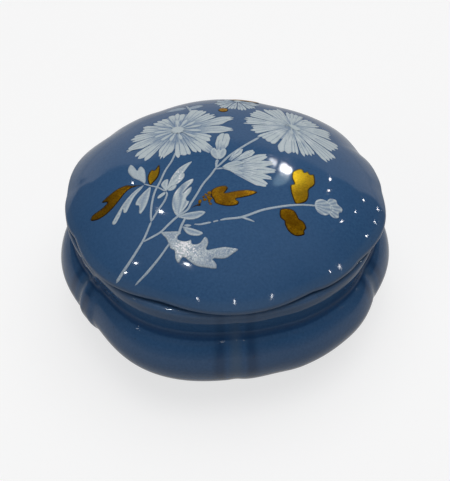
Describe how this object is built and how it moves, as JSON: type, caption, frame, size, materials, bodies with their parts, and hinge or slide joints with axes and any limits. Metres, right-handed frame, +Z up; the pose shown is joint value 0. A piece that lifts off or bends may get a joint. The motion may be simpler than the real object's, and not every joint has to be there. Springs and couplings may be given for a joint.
{
  "type": "vanity trinket box",
  "caption": "Round glazed porcelain trinket box: a low bulging lobed bowl on a foot ring, and a domed scalloped lid with a fired flower spray that lifts off.",
  "frame": {"origin": "on the table plane, under the middle of the foot ring", "axes": "+Z up through the crown of the lid, -Y towards the front of the flower spray, +X to the right seen from the front"},
  "size_m": [0.1216, 0.1212, 0.0611],
  "materials": {
    "blue_glaze": "glossy blue glaze over white porcelain",
    "white_enamel": "raised white overglaze enamel with fine grey-blue scratched lines",
    "gold": "fired overglaze gold, worn and speckled",
    "bisque": "bare ground porcelain of the foot ring and the seat"
  },
  "bodies": {
    "bowl": {"bowl": "blue_glaze"},
    "lid": {"lid": "blue_glaze"}
  },
  "joints": [
    {"name": "lid_lift", "type": "slide", "parent": "bowl", "child": "lid", "axis": [0, 0, 1], "range_m": [0, 0.06]}
  ]
}
